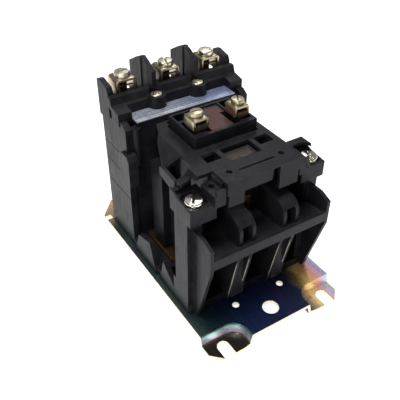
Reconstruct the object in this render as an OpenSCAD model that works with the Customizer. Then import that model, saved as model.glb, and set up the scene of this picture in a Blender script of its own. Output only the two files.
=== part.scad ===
/* [Mounting plate] */
// Width of the sheet-steel mounting plate
plate_w = 90; // [88:1:94]
// Thickness of the sheet
plate_t = 2; // [1.5:0.5:2.5]
// Height of the plate's underside above its pressed-down feet
foot_drop = 6; // [5:0.5:7]
// Distance between the two front mounting slots
slot_pitch = 70; // [68:1:72]
// Width of the front mounting slots
slot_w = 7; // [5:0.5:8]
// Diameter of the hole in the middle of the front edge
front_hole_d = 9.5; // [6:0.5:10]

/* [Poles] */
// Distance between neighbouring poles
pole_pitch = 28; // [27.5:0.25:28.5]
// Width of the current-carrying straps
strap_w = 7; // [6:0.5:7]
// Thickness of the straps
strap_t = 1.6; // [1.2:0.2:1.6]

/* [Magnet] */
// Half the thickness of the laminated cores
core_half = 9.8; // [8:0.2:9.8]
// Air gap between the open cores
core_gap = 6; // [6:0.5:7]

/* [Terminals] */
// Outside width of a line clamp
line_clamp_w = 12.7; // [12:0.1:13]
// Diameter of a line clamp screw's head
line_head_d = 9.2; // [8:0.2:10]
// Outside width of a coil clamp
coil_clamp_w = 9.4; // [9.2:0.2:9.8]
// Diameter of a coil clamp screw's head
coil_head_d = 7.2; // [6:0.2:8]

/* [Hidden] */

$fn = 48;

// Heights are measured from the mounting plane, lengths from the plate's front edge.
plate_top = foot_drop + plate_t;
plate_back = 147.2;
overall_front = -1;
overall_back = 159;
mid_y = (overall_front + overall_back) / 2;

// Feet of the plate: the flat foot starts at foot_x and foot_y, with a rounded inner corner.
foot_x = 21.6;
foot_y = 11.9;
foot_r = 8;
joggle_run = 1.5;
tab_half = 15;
tab_front = plate_back + joggle_run;
rear_hole_y = 153.5;
rear_hole_d = 7;
slot_centre_y = 6;
joggle = [[-0.02, 0], [1.2, 0], [joggle_run + 1.2, foot_drop], [joggle_run + 1.2, plate_top],
    [joggle_run, plate_top], [0, plate_t], [-0.02, plate_t]];

// Housing
body_half = 41;
col_front = 97;
col_back = 127;
seam_z = 87.5;
floor_top = plate_top + 5;
wall = 2;
post_top = 73;
load_half = 38.5;
load_back = 41.8;
load_wall = 1.6;
rim_y = 15;
rim_z = 52;
rim_h = 6;
load_top = 77;
load_low = 67.6;
load_inner = 20.5;
barrier_top = 72;
barrier_in = 9;
barrier_out = 19;
fin_half = 2;
fin_top = 118.4;

// Line terminals
line_y = 123.8;
terminal_floor = 94.5;
line_seat = 96.5;
line_strap_t = 2;
line_strap_top = line_seat + line_strap_t;
terminal_back = 137;
line_clamp_z = 110.5;
line_clamp_leg = 101;
line_clamp_d = 11.5;
line_screw_d = 5;
clamp_t = 1.5;
running = 0.1;
head_gap = 0.1;

// Coil terminals
coil_x = 12.9;
coil_y = 68.8;
coil_floor = 97;
coil_seat = 101;
coil_strap_t = 2.6;
coil_clamp_z = 106.8;
coil_clamp_leg = 101;
coil_clamp_d = 9.8;
coil_screw_d = 3.5;
coil_rim = 100;
coil_rear = 86.6;

// Magnet: centre of the core, its legs and its levels
core_y = 69;
core_len = 48;
leg_side = 8;
leg_mid = 15.6;
core_face = 60;
armature_face = core_face - core_gap;
core_bar_z = 78;
core_bar_h = 12;
armature_bar_z = 25;
bobbin_z = 44.5;
bobbin_h = 33;
bobbin_bore_x = core_half + 0.6;
bobbin_bore_y = leg_mid / 2 + 0.6;
pin_z = 31;
pin_d = 4;
ring_in = 4.6;
ring_t = 1.1;
ring_h = 2;

// Contacts
foot_z = 84.4;
tip_h = 1.4;
tip_gap = 4.5;
tip_d = 5;
load_riser_y = 101;
load_tip_y = 106.2;
line_drop_y = 114;
line_tip_y = 119.6;
bridge_top = foot_z - 2 * tip_h - tip_gap;
bridge_t = 1.5;
bridge_half = 3.3;
post_half = 5.4;
post_leg = 1.5;
post_slot = bridge_top + 0.3;
post_top_z = 82;
bridge_y = (load_tip_y + line_tip_y) / 2;
post_y0 = 109.6;
post_y1 = 113.4;
spring_seat_z = 66;

// Covers
cover_top = 93.4;
cover_t = 2;
cover_half = 22.5;
cover_front = 25;
coil_half = 19.5;
cover_screw_x = 36.2;
cover_screw_y = 34;
cover_shank_d = 4.2;
cover_side = 42.3;
boss_top = 82.4;
washer_z = 80;
washer_t = 1.6;
arc_screw_x = 13.8;
arc_screw_y = 110.4;
arc_recess_z = 99.3;
insert_d = 6;
insert_z = 80;
label_top = 94;
label_half = 33;

black = [0.10, 0.10, 0.11];
steel = [0.80, 0.78, 0.70];
copper = [0.72, 0.45, 0.28];
silver = [0.85, 0.85, 0.86];

// A box given by its two ends along each axis
module block(x0, x1, y0, y1, z0, z1) {
    translate([x0, y0, z0]) cube([x1 - x0, y1 - y0, z1 - z0]);
}

// A side outline of [y, z] points, extruded from x0 to x1
module side_outline(points, x0, x1) {
    translate([x0, 0, 0]) rotate([90, 0, 90]) linear_extrude(x1 - x0) polygon(points);
}

// A front outline of [x, z] points, extruded from y0 to y1
module front_outline(points, y0, y1) {
    translate([0, y1, 0]) rotate([90, 0, 0]) linear_extrude(y1 - y0) polygon(points);
}

module both_sides() {
    children();
    mirror([1, 0, 0]) children();
}

module each_pole() {
    for (i = [-1:1]) translate([i * pole_pitch, 0, 0]) children();
}

// Puts a piece measured from the plate's front edge into the part's own frame
module placed(shade) {
    color(shade) translate([0, -mid_y, 0]) children();
}

// A pan-head screw: head from z = 0 up, shank down, with a straight slot
module slotted_screw(head_d, head_h, shank_d, shank_l, slot) {
    difference() {
        union() {
            cylinder(d = head_d, h = head_h * 0.6);
            translate([0, 0, head_h * 0.6]) cylinder(d1 = head_d, d2 = head_d * 0.78, h = head_h * 0.4);
            translate([0, 0, -shank_l]) cylinder(d = shank_d, h = shank_l);
        }
        translate([0, 0, head_h]) cube([head_d * 2, slot, slot * 2], center = true);
    }
}

// Arc points round a centre, from angle a0 to a1
function arc(cy, cz, r, a0, a1, steps) =
    [for (i = [0:steps]) let (a = a0 + (a1 - a0) * i / steps) [cy + r * cos(a), cz + r * sin(a)]];

// A coil spring of round wire standing on z = 0
module spring(radius, wire, turns, height) {
    sides = 6;
    steps = 12 * turns;
    ring = [for (s = [0:steps]) for (k = [0:sides - 1])
        let (a = 360 * turns * s / steps, b = 360 * k / sides, r = radius + wire / 2 * cos(b))
        [r * cos(a), r * sin(a), wire / 2 + (height - wire) * s / steps + wire / 2 * sin(b)]];
    walls = [for (s = [0:steps - 1]) for (k = [0:sides - 1])
        let (n = (k + 1) % sides)
        [s * sides + k, s * sides + n, (s + 1) * sides + n, (s + 1) * sides + k]];
    ends = [[for (k = [sides - 1:-1:0]) k], [for (k = [0:sides - 1]) steps * sides + k]];
    polyhedron(points = ring, faces = concat(walls, ends), convexity = 10);
}

// ---- Mounting plate ----

module foot_area(grow) {
    r = foot_r + grow;
    corner = [foot_x + foot_r, foot_y - foot_r];
    translate(corner) circle(r);
    translate([corner[0], -10]) square([40, corner[1] + 10 + r]);
    translate([corner[0] - r, -10]) square([r + 1, corner[1] + 10]);
}

module front_foot() {
    corner = [foot_x + foot_r, foot_y - foot_r];
    linear_extrude(plate_t) difference() {
        intersection() {
            foot_area(0);
            polygon([[foot_x - 2, 0], [foot_x + 4, overall_front], [39, overall_front],
                [plate_w / 2, 5], [plate_w / 2, 40], [foot_x - 2, 40]]);
        }
        translate([slot_pitch / 2, slot_centre_y]) circle(d = slot_w);
        translate([slot_pitch / 2 - slot_w / 2, -5]) square([slot_w, slot_centre_y + 5]);
    }
    side_outline([for (p = joggle) [foot_y + p[0], p[1]]], corner[0], plate_w / 2);
    translate([corner[0], corner[1], 0]) rotate([0, 0, 90])
        rotate_extrude(angle = 90) polygon([for (p = joggle) [foot_r + p[0], p[1]]]);
    front_outline([for (p = joggle) [foot_x - p[0], p[1]]], 0, corner[1]);
}

module rear_foot() {
    side_outline([for (p = joggle) [tab_front - p[0], p[1]]], -tab_half, tab_half);
    linear_extrude(plate_t) difference() {
        polygon([[-tab_half, tab_front - 0.02], [tab_half, tab_front - 0.02], [tab_half, overall_back - 4],
            [tab_half - 4, overall_back], [4 - tab_half, overall_back], [-tab_half, overall_back - 4]]);
        translate([0, rear_hole_y]) circle(d = rear_hole_d);
    }
}

module base_plate() {
    placed([0.45, 0.45, 0.62]) {
        translate([0, 0, foot_drop]) linear_extrude(plate_t) difference() {
            polygon([[-plate_w / 2, 0], [plate_w / 2, 0], [plate_w / 2, plate_back - 12.7],
                [34, plate_back], [-34, plate_back], [-plate_w / 2, plate_back - 12.7]]);
            both_sides() foot_area(joggle_run);
            both_sides() translate([plate_w / 2 - 4, 129]) square([10, 4]);
            translate([0, 10.5]) circle(d = front_hole_d);
            both_sides() translate([15.7, 22.3]) circle(d = 4);
            for (y = [60, 112]) both_sides() translate([35.5, y]) circle(d = 4.2);
        }
        both_sides() front_foot();
        rear_foot();
    }
}

module plate_screws() {
    placed(steel) for (y = [60, 112]) both_sides()
        translate([35.5, y, foot_drop]) mirror([0, 0, 1]) slotted_screw(7, 2.6, 3.8, 12, 1);
}

// ---- Base housing ----

module column_shell() {
    both_sides() side_outline([[col_front, plate_top], [col_front, 91.5], [101, 94], [103.3, 94],
        [103.3, 91], [116.3, 91], [116.3, seam_z], [col_back, seam_z], [col_back, plate_top]],
        body_half - 4, body_half);
    block(-body_half, body_half, col_back - 2.5, col_back, plate_top, seam_z);
    difference() {
        block(-body_half, body_half, 98, 100, plate_top, 64.8);
        both_sides() block(10.4, 17.6, 97, 101, 17, 44);
    }
    both_sides() difference() {
        union() {
            block(14 - wall / 2, 14 + wall / 2, 100, col_back, plate_top, seam_z);
            translate([arc_screw_x, arc_screw_y, 46]) cylinder(d = 8, h = 41.5);
        }
        block(10.4, 17.6, 99, 119.6, 17, 44);
        translate([arc_screw_x, arc_screw_y, 70]) cylinder(d = 5, h = 30);
        translate([arc_screw_x, arc_screw_y, insert_z]) cylinder(d = insert_d + 0.1, h = 30);
    }
}

module seam_lines() {
    both_sides() for (z = [44, 59.5, 72]) block(body_half - 0.4, body_half + 1, col_front - 1, col_back + 1, z, z + 0.5);
}

// Walls between and beside the three load compartments
module load_walls() {
    both_sides() side_outline([[26.5, 10], [rim_y, rim_z - 2], [rim_y, 65], [22, load_low],
        [load_back, load_low], [load_back, plate_top], [28, plate_top]], load_half - wall, load_half);
    barrier = concat([[26.8, 10.5], [18, rim_z]], arc(26, barrier_top - 8, 8, 180, 90, 8),
        [[load_back, barrier_top], [load_back, plate_top], [30, plate_top], [30, 10.5]]);
    for (x = [barrier_in, barrier_out - wall]) both_sides() side_outline(barrier, x, x + wall);
    web = concat([[24, 14], [24, 65]], arc(27, 65, 3, 180, 90, 4), [[32, 68], [32, 14]]);
    both_sides() side_outline(web, barrier_in + 1, barrier_out - 1);
    both_sides() side_outline(concat(arc(26, barrier_top - 8, 8, 150, 90, 5),
        [[load_back, barrier_top], [load_back, barrier_top - 2]],
        arc(26, barrier_top - 8, 6, 90, 150, 5)), barrier_in + 1, barrier_out - 1);
}

module load_floor() {
    block(-load_half, load_half, rim_y, rim_y + 2.5, rim_z, rim_z + rim_h);
    difference() {
        side_outline([[rim_y + 1, rim_z], [rim_y + 1, rim_z + 5], [28, rim_z + 3], [load_back, rim_z + 3],
            [load_back, rim_z]], -load_half, load_half);
        each_pole() block(-strap_w / 2 - 0.4, strap_w / 2 + 0.4, 39.2, 43, rim_z - 1, rim_z + 10);
        for (x = [-36, -8.6, 19.4]) block(x, x + 2.4, 20, 30, rim_z - 1, rim_z + 10);
    }
}

module corner_posts() {
    both_sides() {
        block(33.2, 42, 31, 43.5, plate_top, post_top);
        block(38, 42, 43, 46, plate_top, 26);
    }
}

module side_gussets() {
    both_sides() side_outline([[94, plate_top], [88, 24], [74, 28], [67, plate_top]], 39, 42);
    both_sides() side_outline([[63, plate_top], [58, 26], [44, 14], [44, plate_top]], 39, 42);
}

// Walls beside the magnet, with a window in each and a guide post outside
module magnet_cage() {
    both_sides() difference() {
        block(22.5, 24.5, 47, 98, plate_top, 67);
        block(22, 25, 55, 76, 20, 60);
        block(22, 25, 82, 93, 20, 60);
    }
    both_sides() block(24.4, 30, 78, 90, 16, post_top);
    both_sides() block(24.5, 34, 47, 50, 20, 64);
    both_sides() block(22.5, 24.5, 40, 66, 66.9, 90.9);
}

module base_housing() {
    placed(black) difference() {
        union() {
            block(-body_half, body_half, 30, col_back, plate_top, floor_top);
            block(-load_half, load_half, load_back, load_back + load_wall, plate_top, load_low);
            block(-load_inner, load_inner, load_back, load_back + load_wall, plate_top, load_top);
            for (y = [60, 112]) both_sides() translate([35.5, y, plate_top]) cylinder(d = 6, h = 12);
            column_shell();
            load_walls();
            load_floor();
            corner_posts();
            side_gussets();
            magnet_cage();
        }
        seam_lines();
        each_pole() block(-strap_w / 2 - 0.2, strap_w / 2 + 0.2, 40, 103, floor_top, floor_top + 2.4);
        for (y = [60, 112]) both_sides() translate([35.5, y, plate_top - 1]) cylinder(d = 3.8, h = 12);
        both_sides() translate([cover_screw_x, cover_screw_y, 48]) cylinder(d = cover_shank_d + 0.4, h = 40);
    }
}

// ---- Line terminal block ----

module barrier_fin() {
    outline = concat([[116.6, seam_z], [116.6, 104.6], [111.5, 104.6], [112, 114]],
        arc(124, fin_top - 10, 10, 125, 60, 6),
        [[138.6, 111.5], [138.6, 92], [130, 84], [col_back + 0.3, 84], [col_back + 0.3, seam_z]]);
    difference() {
        side_outline(outline, pole_pitch / 2 - fin_half, pole_pitch / 2 + fin_half);
        for (x = [-1, 1]) translate([pole_pitch / 2 + x * (fin_half + 0.4), 0, 0])
            block(-1, 1, 110, 124, terminal_floor, 120);
    }
}

module line_terminal_block() {
    placed(black) difference() {
        union() {
            block(-body_half, body_half, 116.6, 130, seam_z, terminal_floor);
            block(-load_half + 0.5, load_half - 0.5, 129.9, terminal_back, seam_z, terminal_floor);
            each_pole() block(-4.4, 4.4, 116.6, 131.2, terminal_floor - 0.1, line_seat);
            both_sides() side_outline([[116.6, seam_z], [130, seam_z], [130, 109.5], [127, 110.3],
                [118, 108.6], [116.6, 106]], body_half - 3.5, body_half);
            both_sides() barrier_fin();
        }
        each_pole() translate([0, line_y, seam_z - 1]) cylinder(d = line_screw_d + 1, h = 20);
    }
}

// ---- Arc cover ----

module arc_cover() {
    placed(black) difference() {
        union() {
            difference() {
                side_outline([[103.5, 91], [103.5, 98.5], [111.5, 100], [113, 104.3], [116.3, 104.3],
                    [116.3, 99.5], [112, 97], [112, 91]], -body_half - 0.6, body_half + 0.6);
                block(-label_half, label_half, 98, 109.9, 93.5, 110);
                each_pole() block(-strap_w / 2 - 0.6, strap_w / 2 + 0.6, 111, 117, 90, line_strap_top + 0.4);
            }
            block(-label_half, label_half, 98, 112, 91, 93.5);
            both_sides() translate([arc_screw_x, arc_screw_y, 87.6]) cylinder(d = 11, h = 13.4);
            block(-label_half, label_half, 98, 99.8, 65, 91.1);
            both_sides() block(label_half - 1.2, label_half, 98, 108, 65, 91.1);
            both_sides() translate([label_half + 1, 98.3, 67]) cylinder(d = 5.4, h = 24.1);
        }
        both_sides() translate([arc_screw_x, arc_screw_y, arc_recess_z]) cylinder(d = 8, h = 10);
        both_sides() translate([arc_screw_x, arc_screw_y, 80]) cylinder(d = 4.4, h = 30);
    }
}

module arc_cover_screws() {
    placed(steel) both_sides() translate([arc_screw_x, arc_screw_y, arc_recess_z]) slotted_screw(7, 2.4, 4, 22, 1);
}

module label_plate() {
    placed([0.72, 0.75, 0.82]) difference() {
        block(-label_half + 0.2, label_half - 0.2, 98.3, 109.7, 93.5, label_top);
        both_sides() translate([arc_screw_x, arc_screw_y, 90]) cylinder(d = 11.4, h = 10);
    }
}

module side_latches() {
    placed([0.13, 0.13, 0.14]) both_sides() {
        side_outline([[92, 57], [104, 55], [104, 75], [101, 77], [94, 77], [92, 74]], 41.2, 43);
        side_outline([[92, 57], [96.8, 56.2], [96.8, 77], [94, 77], [92, 74]], 37, 41.3);
    }
}

// ---- Coil cover ----

module corner_boss() {
    block(27, cover_side, 27.5, 47, post_top + 0.3, boss_top);
    side_outline([[27.5, boss_top - 0.1], [38.5, 83.6], [44, 85.4], [47, 86], [47, boss_top - 0.1]],
        cover_side - 1, cover_side);
    block(31, 38.5, 45, 47, boss_top - 0.1, 87.7);
    block(38.4, cover_side, 44, 47, boss_top - 0.1, 85.2);
    block(cover_half + 0.6, 29.4, cover_front + 0.5, 38.6, boss_top - 1, 88);
    block(cover_half + 0.6, 28.6, cover_front + 0.5, cover_front + 2, 87.9, 90.8);
    block(cover_half - 1, cover_half + 0.7, 30, 38.6, 87, 91.5);
}

// Roof behind each corner pocket: raised on the left, level with the back wall on the right
module boss_roofs() {
    mirror([1, 0, 0]) front_outline([[21, 91.4], [21, cover_top], [31.4, cover_top], [34, 90.1], [38.5, 88.8],
        [38.5, 86.8], [34, 88.1], [31, 91.4]], 38.5, 47);
    block(24.9, 41.6, 38.5, 47, 85.8, 87.8);
}

// Pocket round a corner screw, open towards the front of the boss's top
module boss_pocket() {
    inner = cover_side - 1;
    translate([0, 0, washer_z]) linear_extrude(91.3 - washer_z) polygon([[inner, 30.5], [inner, 39.5],
        [38, 42.5], [32, 42.5], [29.5, 39], [29.5, 31.5], [32, 29], [38.5, 28.6]]);
}

// Steep right-hand skirt beside the coil
module cover_skirt() {
    front_outline([[20, 91.4], [20, cover_top], [24.6, cover_top], [26.6, 91.6], [30.2, 84.2],
        [28.4, 84.2], [25.1, 91.1], [24.9, 91.4]], cover_front, 88);
}

// Left wing sloping beside the coil, narrowing towards the rear, with an arm down to the corner boss
module cover_wing() {
    intersection() {
        front_outline([[20, cover_top], [28.3, cover_top - 0.2], [38.1, 89.1], [38.1, 87.1],
            [28.3, 91.2], [20, 91.4]], 44, 93);
        linear_extrude(100) polygon([[20, 44], [29, 44], [29, 58.4], [38.1, 58.4], [38.1, 61], [31, 79],
            [27, 84.5], [24, 92.5], [20, 92.5]]);
    }
    side_outline([[47, 81.9], [47, 88], [58.4, 89.1], [62, 88.6], [62, 84], [54, 81.9]], 37.6, 39.4);
}

module cover_windows() {
    block(-9.2, 9.4, 40.7, 52.8, 80, 100);
    both_sides() block(12.2, 21, 45.5, 53, 80, 100);
    block(-coil_half - 0.8, coil_half + 0.8, 58.4, coil_rear + 0.8, 70, 100);
    both_sides() front_outline([[14.2, 80], [14.2, 100], [18.6, 100], [18.6, 80]], 88.2, 91.6);
    block(-11, 11, 32, 33.2, 80, 100);
    block(4.6, 9.3, 20, 28, 84, 92.4);
    both_sides() translate([16.2, 33.6, 80]) cylinder(d = 3.4, h = 20);
}

module coil_cover() {
    placed(black) difference() {
        union() {
            block(-cover_half, cover_half, cover_front, 60, cover_top - cover_t, cover_top);
            block(-20.1, 20.1, coil_rear, 92.5, cover_top - cover_t, cover_top);
            block(-cover_half, cover_half, cover_front, cover_front + 2, 86, cover_top);
            block(9.5, 21.5, cover_front, cover_front + 1.8, 78.4, 86.1);
            block(-21.5, -12.4, cover_front, cover_front + 1.8, 79, 86.1);
            both_sides() corner_boss();
            boss_roofs();
            cover_skirt();
            mirror([1, 0, 0]) cover_wing();
        }
        cover_windows();
        both_sides() {
            boss_pocket();
            translate([cover_screw_x, cover_screw_y, 60]) cylinder(d = cover_shank_d + 0.6, h = 40);
            translate([25.6, 34.6, 80]) cylinder(d = 3.4, h = 20);
        }
        block(-37.5, -28.9, 47.1, 58.3, 80, 100);
    }
}

module coil_cover_screws() {
    placed([0.83, 0.72, 0.45]) both_sides() translate([cover_screw_x, cover_screw_y, washer_z + washer_t])
        slotted_screw(9.6, 3.4, cover_shank_d, 30, 1.4);
}

module coil_cover_washers() {
    placed(steel) both_sides() translate([cover_screw_x, cover_screw_y, washer_z]) difference() {
        cylinder(d = 9.8, h = washer_t);
        translate([0, 0, -1]) cylinder(d = cover_shank_d + 0.4, h = 5);
    }
}

module thread_inserts() {
    placed([0.75, 0.6, 0.3]) both_sides() translate([arc_screw_x, arc_screw_y, insert_z]) difference() {
        cylinder(d = insert_d, h = seam_z - insert_z);
        translate([0, 0, -1]) cylinder(d = 4.1, h = 20);
    }
}

// ---- Contacts ----

module line_contact(pole) {
    placed(copper) translate([pole * pole_pitch, 0, 0]) difference() {
        union() {
            block(-strap_w / 2, strap_w / 2, line_drop_y, 131, line_seat, line_strap_top);
            block(-strap_w / 2, strap_w / 2, line_drop_y, line_drop_y + strap_t, foot_z, line_strap_top);
            block(-strap_w / 2, strap_w / 2, line_drop_y, 122.6, foot_z, foot_z + strap_t);
        }
        translate([0, line_y, 80]) cylinder(d = line_screw_d + 2 * running, h = 30);
    }
}

module load_contact(pole) {
    riser_front = load_back - 0.4 - strap_t;
    placed(copper) translate([pole * pole_pitch, 0, 0]) difference() {
        union() {
            block(-strap_w / 2, strap_w / 2, load_riser_y, 109, foot_z, foot_z + strap_t);
            block(-strap_w / 2, strap_w / 2, load_riser_y, load_riser_y + strap_t, floor_top, foot_z + strap_t);
            block(-strap_w / 2, strap_w / 2, riser_front, load_riser_y + strap_t, floor_top, floor_top + strap_t);
            block(-strap_w / 2, strap_w / 2, riser_front, riser_front + strap_t, floor_top, 67);
        }
        translate([0, riser_front - 1, 61]) rotate([-90, 0, 0]) cylinder(d = 4.4, h = 6);
    }
}

module fixed_contact_tips() {
    placed(silver) each_pole() for (y = [load_tip_y, line_tip_y])
        translate([0, y, foot_z - tip_h]) cylinder(d = tip_d, h = tip_h);
}

module contact_bridge(pole) {
    placed(copper) translate([pole * pole_pitch, 0, 0]) {
        block(-bridge_half, bridge_half, load_tip_y - 3, line_tip_y + 3, bridge_top - bridge_t, bridge_top);
    }
}

module bridge_tips(pole) {
    placed(silver) translate([pole * pole_pitch, 0, 0]) for (y = [load_tip_y, line_tip_y])
        translate([0, y, bridge_top]) cylinder(d = tip_d, h = tip_h);
}

module contact_spring(pole) {
    placed([0.7, 0.7, 0.72]) translate([pole * pole_pitch, bridge_y, spring_seat_z])
        spring(2.2, 0.7, 5, bridge_top - bridge_t - spring_seat_z);
}

// ---- Moving carrier and armature ----

module carrier_post() {
    block(-post_half, post_half, 108.5, 117.5, 33.9, spring_seat_z);
    both_sides() block(post_half - post_leg, post_half, post_y0, post_y1, spring_seat_z - 0.1, post_top_z);
    block(-post_half, post_half, post_y0, post_y1, post_slot, post_top_z);
}

module contact_carrier() {
    placed([0.20, 0.16, 0.14]) difference() {
        union() {
            block(-14, 14, 46, 92, 18, armature_bar_z);
            both_sides() block(core_half + 0.2, 14, 50, 92, armature_bar_z, 36);
            both_sides() block(14, 20, 64, 74, 18, 26);
            both_sides() block(11, 17, 88, 110, 24, 34);
            block(-33.4, 33.4, 107.5, 118.5, 24, 34);
            each_pole() carrier_post();
        }
        translate([0, core_y, pin_z]) rotate([0, 90, 0]) cylinder(d = pin_d, h = 40, center = true);
        both_sides() block(17.5, 22, 117, 120, 20, 36);
    }
}

// An E-shaped laminated core lying along Y, with its three faces at height 0 and its bar below
module e_core(leg_h, bar_h) {
    far = core_len / 2;
    slot = far - leg_side;
    side_outline([[-far, -leg_h - bar_h], [far, -leg_h - bar_h], [far, 0], [slot, 0], [slot, -leg_h],
        [leg_mid / 2, -leg_h], [leg_mid / 2, 0], [-leg_mid / 2, 0], [-leg_mid / 2, -leg_h],
        [-slot, -leg_h], [-slot, 0], [-far, 0]], -core_half, core_half);
}

module armature_core() {
    placed([0.45, 0.44, 0.44]) difference() {
        translate([0, core_y, armature_face]) e_core(armature_face - 37, 12);
        translate([0, core_y, pin_z]) rotate([0, 90, 0]) cylinder(d = pin_d, h = 40, center = true);
    }
}

module armature_pin() {
    placed(steel) translate([0, core_y, pin_z]) rotate([0, 90, 0]) cylinder(d = pin_d, h = 28, center = true);
}

module return_springs() {
    placed([0.7, 0.7, 0.72]) both_sides() translate([16.9, core_y, 26])
        spring(2.2, 0.8, 7, bobbin_z - 26);
}

// ---- Fixed magnet and coil ----

module fixed_core() {
    placed([0.45, 0.44, 0.44]) difference() {
        translate([0, core_y, core_face]) mirror([0, 0, 1]) e_core(core_bar_z - core_face, core_bar_h);
        for (side = [-1, 1]) translate([0, core_y + side * (core_len / 2 - ring_in - 0.6), core_face + 1.4])
            cube([60, 1.2, 3.2], center = true);
    }
}

module shading_rings() {
    placed(copper) for (side = [0, 1]) translate([0, core_y, core_face + 0.5]) mirror([0, side, 0])
        translate([0, core_len / 2, 0]) difference() {
            block(-core_half - 1.2, core_half + 1.2, -ring_in - ring_t, 1.2, 0, ring_h);
            block(-core_half, core_half, -ring_in, 0, -1, 3);
        }
}

module core_spring_clip() {
    placed(steel) difference() {
        block(-core_half + 1, core_half - 1, 61.2, 85, core_bar_z + core_bar_h, core_bar_z + core_bar_h + 0.8);
        block(-3, 3, 65, 81, 80, 100);
    }
}

module coil_bobbin() {
    placed([0.85, 0.82, 0.72]) difference() {
        union() {
            for (z = [bobbin_z, bobbin_z + bobbin_h - 1.2])
                block(-18, 18, core_y - 14.8, core_y + 14.8, z, z + 1.2);
            block(-bobbin_bore_x - 1, bobbin_bore_x + 1, core_y - bobbin_bore_y - 1, core_y + bobbin_bore_y + 1,
                bobbin_z, bobbin_z + bobbin_h);
        }
        block(-bobbin_bore_x, bobbin_bore_x, core_y - bobbin_bore_y, core_y + bobbin_bore_y, 0, 100);
    }
}

module coil_winding() {
    placed(copper) difference() {
        block(-17.6, 17.6, core_y - 14.4, core_y + 14.4, bobbin_z + 1.2, bobbin_z + bobbin_h - 1.2);
        block(-bobbin_bore_x - 1, bobbin_bore_x + 1, core_y - bobbin_bore_y - 1, core_y + bobbin_bore_y + 1, 0, 100);
    }
}

// Moulded coil case: sleeve round the winding, two terminal towers, raised rim on top
module coil_shell() {
    sleeve_y = 15.7;
    placed([0.11, 0.11, 0.12]) difference() {
        union() {
            block(-coil_half, coil_half, core_y - sleeve_y, core_y + sleeve_y, bobbin_z, bobbin_z + bobbin_h);
            both_sides() block(core_half + 0.4, coil_half, 59.2, coil_rear, bobbin_z + bobbin_h - 0.1, coil_rim);
            block(-coil_half, coil_half, 59.2, 60.8, 90.9, coil_rim);
            block(-coil_half, coil_half, coil_rear - 1.4, coil_rear, 90.9, coil_rim);
        }
        block(-18, 18, core_y - 14.8, core_y + 14.8, bobbin_z - 1, bobbin_z + bobbin_h);
        both_sides() difference() {
            block(core_half - 3, coil_half - 1.2, 62.4, 76.4, coil_floor, 110);
            translate([coil_x, 0, 0]) block(-3, 3, 63.8, 75.2, coil_floor - 1, coil_seat);
        }
        both_sides() block(core_half + 1.6, coil_half - 1.2, 78.4, coil_rear - 1.4, 94, 110);
        both_sides() translate([coil_x, coil_y, 84]) cylinder(d = coil_screw_d + 1, h = 20);
    }
    placed([0.11, 0.11, 0.12]) both_sides() translate([coil_x, 0, 0]) difference() {
        block(-3, 3, 63.8, 75.2, coil_floor - 0.1, coil_seat);
        translate([0, coil_y, 84]) cylinder(d = coil_screw_d + 1, h = 20);
    }
}

module coil_name_plate() {
    placed([0.12, 0.12, 0.13]) difference() {
        block(-core_half - 0.4, core_half + 0.4, 60.8, coil_rear - 1.4, 97.4, 99);
        both_sides() block(core_half - 3, 12, 62.4, 76.4, 90, 110);
    }
}

module coil_terminal(side) {
    placed(steel) translate([side * coil_x, 0, 0]) difference() {
        block(-3.1, 3.1, 63.4, 75.6, coil_seat, coil_seat + coil_strap_t);
        translate([0, coil_y, 90]) cylinder(d = coil_screw_d + 2 * running, h = 20);
    }
}

// ---- Clamps and their screws ----

// An inverted-U saddle open along Y, its top face at height top
module saddle(width, depth, leg, top, hole) {
    difference() {
        block(-width / 2, width / 2, -depth / 2, depth / 2, leg, top);
        block(-width / 2 + clamp_t, width / 2 - clamp_t, -depth, depth, leg - 1, top - clamp_t);
        cylinder(d = hole, h = 200);
    }
}

module line_clamp(pole) {
    placed([0.80, 0.76, 0.62]) translate([pole * pole_pitch, line_y, 0])
        saddle(line_clamp_w, line_clamp_d, line_clamp_leg, line_clamp_z, line_screw_d + 2 * running);
}

module line_screw(pole) {
    placed(steel) translate([pole * pole_pitch, line_y, line_clamp_z + head_gap])
        slotted_screw(line_head_d, 3, line_screw_d, line_clamp_z - terminal_floor + 0.5, 1.3);
}

module coil_clamp(side) {
    placed([0.85, 0.80, 0.66]) translate([side * coil_x, coil_y, 0])
        saddle(coil_clamp_w, coil_clamp_d, coil_clamp_leg, coil_clamp_z, coil_screw_d + 2 * running);
}

module coil_screw(side) {
    placed(steel) translate([side * coil_x, coil_y, coil_clamp_z + head_gap])
        slotted_screw(coil_head_d, 2.9, coil_screw_d, coil_clamp_z - 92, 1);
}

base_plate();
plate_screws();
base_housing();
line_terminal_block();
arc_cover();
arc_cover_screws();
label_plate();
side_latches();
coil_cover();
coil_cover_screws();
coil_cover_washers();
thread_inserts();
line_contact(-1);  // line_contact_left
line_contact(0);  // line_contact_centre
line_contact(1);  // line_contact_right
load_contact(-1);  // load_contact_left
load_contact(0);  // load_contact_centre
load_contact(1);  // load_contact_right
fixed_contact_tips();
contact_bridge(-1);  // contact_bridge_left
contact_bridge(0);  // contact_bridge_centre
contact_bridge(1);  // contact_bridge_right
bridge_tips(-1);  // bridge_tips_left
bridge_tips(0);  // bridge_tips_centre
bridge_tips(1);  // bridge_tips_right
contact_spring(-1);  // contact_spring_left
contact_spring(0);  // contact_spring_centre
contact_spring(1);  // contact_spring_right
contact_carrier();
armature_core();
armature_pin();
return_springs();
fixed_core();
shading_rings();
core_spring_clip();
coil_bobbin();
coil_winding();
coil_shell();
coil_name_plate();
coil_terminal(-1);  // coil_terminal_left
coil_terminal(1);  // coil_terminal_right
coil_clamp(-1);  // coil_clamp_left
coil_clamp(1);  // coil_clamp_right
coil_screw(-1);  // coil_screw_left
coil_screw(1);  // coil_screw_right
line_clamp(-1);  // line_clamp_left
line_clamp(0);  // line_clamp_centre
line_clamp(1);  // line_clamp_right
line_screw(-1);  // line_screw_left
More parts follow.
